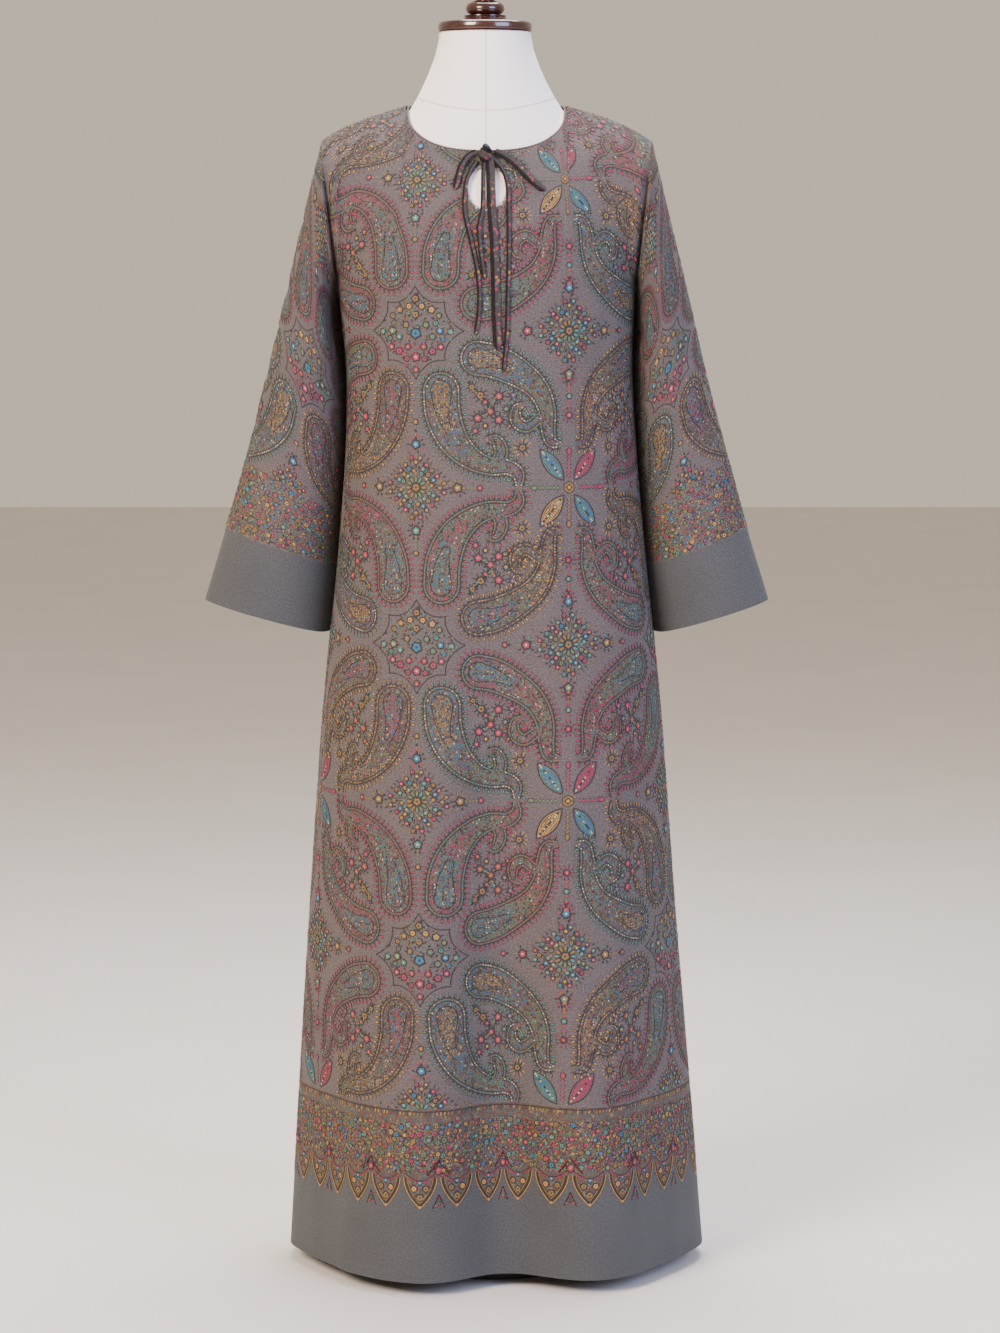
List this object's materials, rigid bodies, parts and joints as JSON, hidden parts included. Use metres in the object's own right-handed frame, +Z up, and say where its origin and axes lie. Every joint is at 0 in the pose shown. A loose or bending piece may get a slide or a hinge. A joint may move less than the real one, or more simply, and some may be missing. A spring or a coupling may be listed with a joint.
{
  "type": "kaftan on dress form",
  "caption": "Full-length long-sleeved kaftan with a tied keyhole neck and plain cuff and hem bands, on a limbless dress form with a turned cap.",
  "frame": {"origin": "on the floor, under the middle of the part's box", "axes": "+Z up, -Y the front of the garment, +X to the right as seen from the front"},
  "size_m": [0.688, 0.4318, 1.5715],
  "materials": {
    "patterned_cloth": "fine dull weave with a dense many-coloured paisley print",
    "plain_cloth": "fine dull plain weave, warm grey",
    "tie_cloth": "folded narrow cloth, grey with bits of the print",
    "form_cover": "smooth white stretch cover",
    "turned_wood": "turned, dark mahogany stain, glossy lacquer",
    "stand_metal": "dark satin paint"
  },
  "bodies": {
    "root": {"body_front": "patterned_cloth", "body_back": "patterned_cloth", "hem_front": "patterned_cloth", "hem_back": "patterned_cloth", "sleeve_left": "patterned_cloth", "sleeve_right": "patterned_cloth", "cuff_left": "plain_cloth", "cuff_right": "plain_cloth", "neck_binding": "tie_cloth", "tie_knot": "tie_cloth", "tie_loop_left": "tie_cloth", "tie_loop_right": "tie_cloth", "tie_tail_1": "tie_cloth", "tie_tail_2": "tie_cloth", "tie_tail_3": "tie_cloth", "tie_tail_4": "tie_cloth", "form_torso": "form_cover", "neck_cap": "turned_wood", "finial": "turned_wood", "stand_pole": "stand_metal", "stand_base": "stand_metal"}
  },
  "joints": []
}
